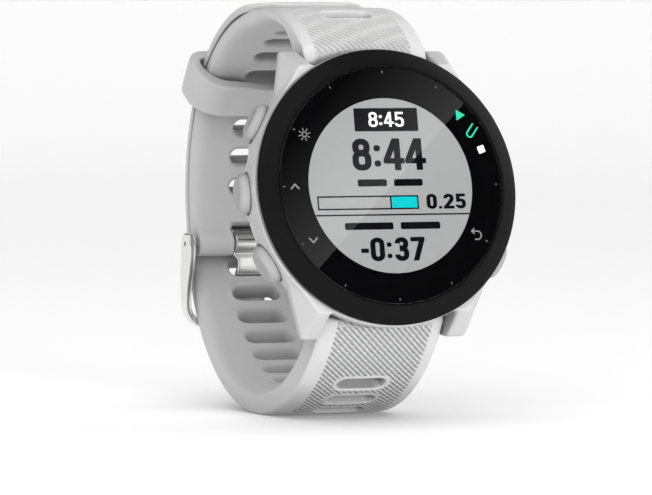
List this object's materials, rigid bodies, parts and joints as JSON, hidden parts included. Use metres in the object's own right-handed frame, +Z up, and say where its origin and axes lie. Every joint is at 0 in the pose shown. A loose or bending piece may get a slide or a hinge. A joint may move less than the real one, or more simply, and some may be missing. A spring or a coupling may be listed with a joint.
{
  "type": "gps running watch",
  "caption": "Round sports watch with five side buttons, a reflective display, an optical wrist sensor and a ribbed silicone strap closed by a steel buckle.",
  "frame": {"origin": "centre of the overall box, on the surface that the closed strap stands on", "axes": "+Z up; the dial faces -Y and leans back 11.5 degrees; +X points to the right side of the dial, with its two buttons"},
  "size_m": [0.0436, 0.0632, 0.0634],
  "materials": {
    "case": "light grey fibre-filled resin, fine satin",
    "bezel": "black satin",
    "glass": "clear hardened glass, glossy",
    "adhesive": "matte",
    "print": "black print behind the glass",
    "display": null,
    "light_guide": "clear light guide",
    "black_plastic": "black moulded",
    "flex": "amber polyimide",
    "copper": "plated copper",
    "board": "green solder mask",
    "chip": "black epoxy",
    "tinned_steel": "tinned",
    "switch": "stamped",
    "motor_steel": "plain",
    "piezo": "plain",
    "cell": "foil pouch",
    "back_plastic": "light grey, fine matte",
    "red_seal": "silicone",
    "black_seal": "nitrile",
    "screw_steel": "stainless",
    "clip_steel": "spring steel",
    "sensor_glass": "dark lens, glossy",
    "led": "green",
    "photodiode": "dark",
    "gold": "gold plated",
    "button": "light grey satin",
    "strap": "light grey silicone with fine diagonal ribs",
    "bar_steel": "stainless",
    "spring_steel": "spring wire",
    "buckle_steel": "polished stainless with fine brushing"
  },
  "bodies": {
    "case": {"case_body": "case", "bezel": "bezel", "cover_lens": "glass", "lens_adhesive": "adhesive", "lens_mask": "print", "display_panel": "display", "backlight": "light_guide", "inner_chassis": "black_plastic", "display_flex": "flex", "gps_antenna": "copper", "main_board": "board", "processor": "chip", "gps_receiver": "chip", "power_chip": "chip", "shield_can": "tinned_steel", "tact_switches": "switch", "vibration_motor": "motor_steel", "buzzer": "piezo", "battery": "cell", "case_back": "back_plastic", "back_gasket": "red_seal", "back_screws": "screw_steel", "sensor_window": "sensor_glass", "sensor_leds": "led", "photodiodes": "photodiode", "sensor_board": "board", "charge_port": "black_plastic", "charge_contacts": "gold", "upper_strap": "strap", "lower_strap": "strap", "upper_bar_tube": "bar_steel", "lower_bar_tube": "bar_steel", "bar_springs": "spring_steel"},
    "light_button": {"light_button": "button", "light_button_seal": "black_seal", "light_button_clip": "clip_steel"},
    "up_button": {"up_button": "button", "up_button_seal": "black_seal", "up_button_clip": "clip_steel"},
    "down_button": {"down_button": "button", "down_button_seal": "black_seal", "down_button_clip": "clip_steel"},
    "start_button": {"start_button": "button", "start_button_seal": "black_seal", "start_button_clip": "clip_steel"},
    "back_button": {"back_button": "button", "back_button_seal": "black_seal", "back_button_clip": "clip_steel"},
    "keeper": {"strap_keeper": "strap"},
    "buckle": {"buckle_frame": "buckle_steel", "buckle_bar": "bar_steel"},
    "tongue": {"buckle_tongue": "buckle_steel"},
    "upper_release": {"upper_release_pin": "bar_steel"},
    "lower_release": {"lower_release_pin": "bar_steel"}
  },
  "joints": [
    {"name": "light_press", "type": "slide", "parent": "case", "child": "light_button", "axis": [0.866, -0.0997, -0.49], "range_m": [0, 0.0005], "stiffness_N_per_m": 200, "springref_m": -0.001},
    {"name": "up_press", "type": "slide", "parent": "case", "child": "up_button", "axis": [1, 0, 0], "range_m": [0, 0.0005], "stiffness_N_per_m": 200, "springref_m": -0.001},
    {"name": "down_press", "type": "slide", "parent": "case", "child": "down_button", "axis": [0.866, 0.0997, 0.49], "range_m": [0, 0.0005], "stiffness_N_per_m": 200, "springref_m": -0.001},
    {"name": "start_press", "type": "slide", "parent": "case", "child": "start_button", "axis": [-0.866, -0.0997, -0.49], "range_m": [0, 0.0005], "stiffness_N_per_m": 200, "springref_m": -0.001},
    {"name": "back_press", "type": "slide", "parent": "case", "child": "back_button", "axis": [-0.866, 0.0997, 0.49], "range_m": [0, 0.0005], "stiffness_N_per_m": 200, "springref_m": -0.001},
    {"name": "keeper_slide", "type": "hinge", "parent": "case", "child": "keeper", "pos_m": [0.00075, 0.00222, 0.03402], "axis": [1, 0, 0], "range_deg": [-28, 30]},
    {"name": "buckle_hinge", "type": "hinge", "parent": "case", "child": "buckle", "pos_m": [0.00075, 0.02628, 0.02535], "axis": [1, 0, 0], "range_deg": [0, 5]},
    {"name": "tongue_hinge", "type": "hinge", "parent": "buckle", "child": "tongue", "pos_m": [0.00075, 0.02628, 0.02535], "axis": [1, 0, 0], "range_deg": [0, 3]},
    {"name": "upper_release_slide", "type": "slide", "parent": "case", "child": "upper_release", "axis": [1, 0, 0], "range_m": [0, 0.0012], "stiffness_N_per_m": 150, "springref_m": -0.001},
    {"name": "lower_release_slide", "type": "slide", "parent": "case", "child": "lower_release", "axis": [1, 0, 0], "range_m": [0, 0.0012], "stiffness_N_per_m": 150, "springref_m": -0.001}
  ]
}
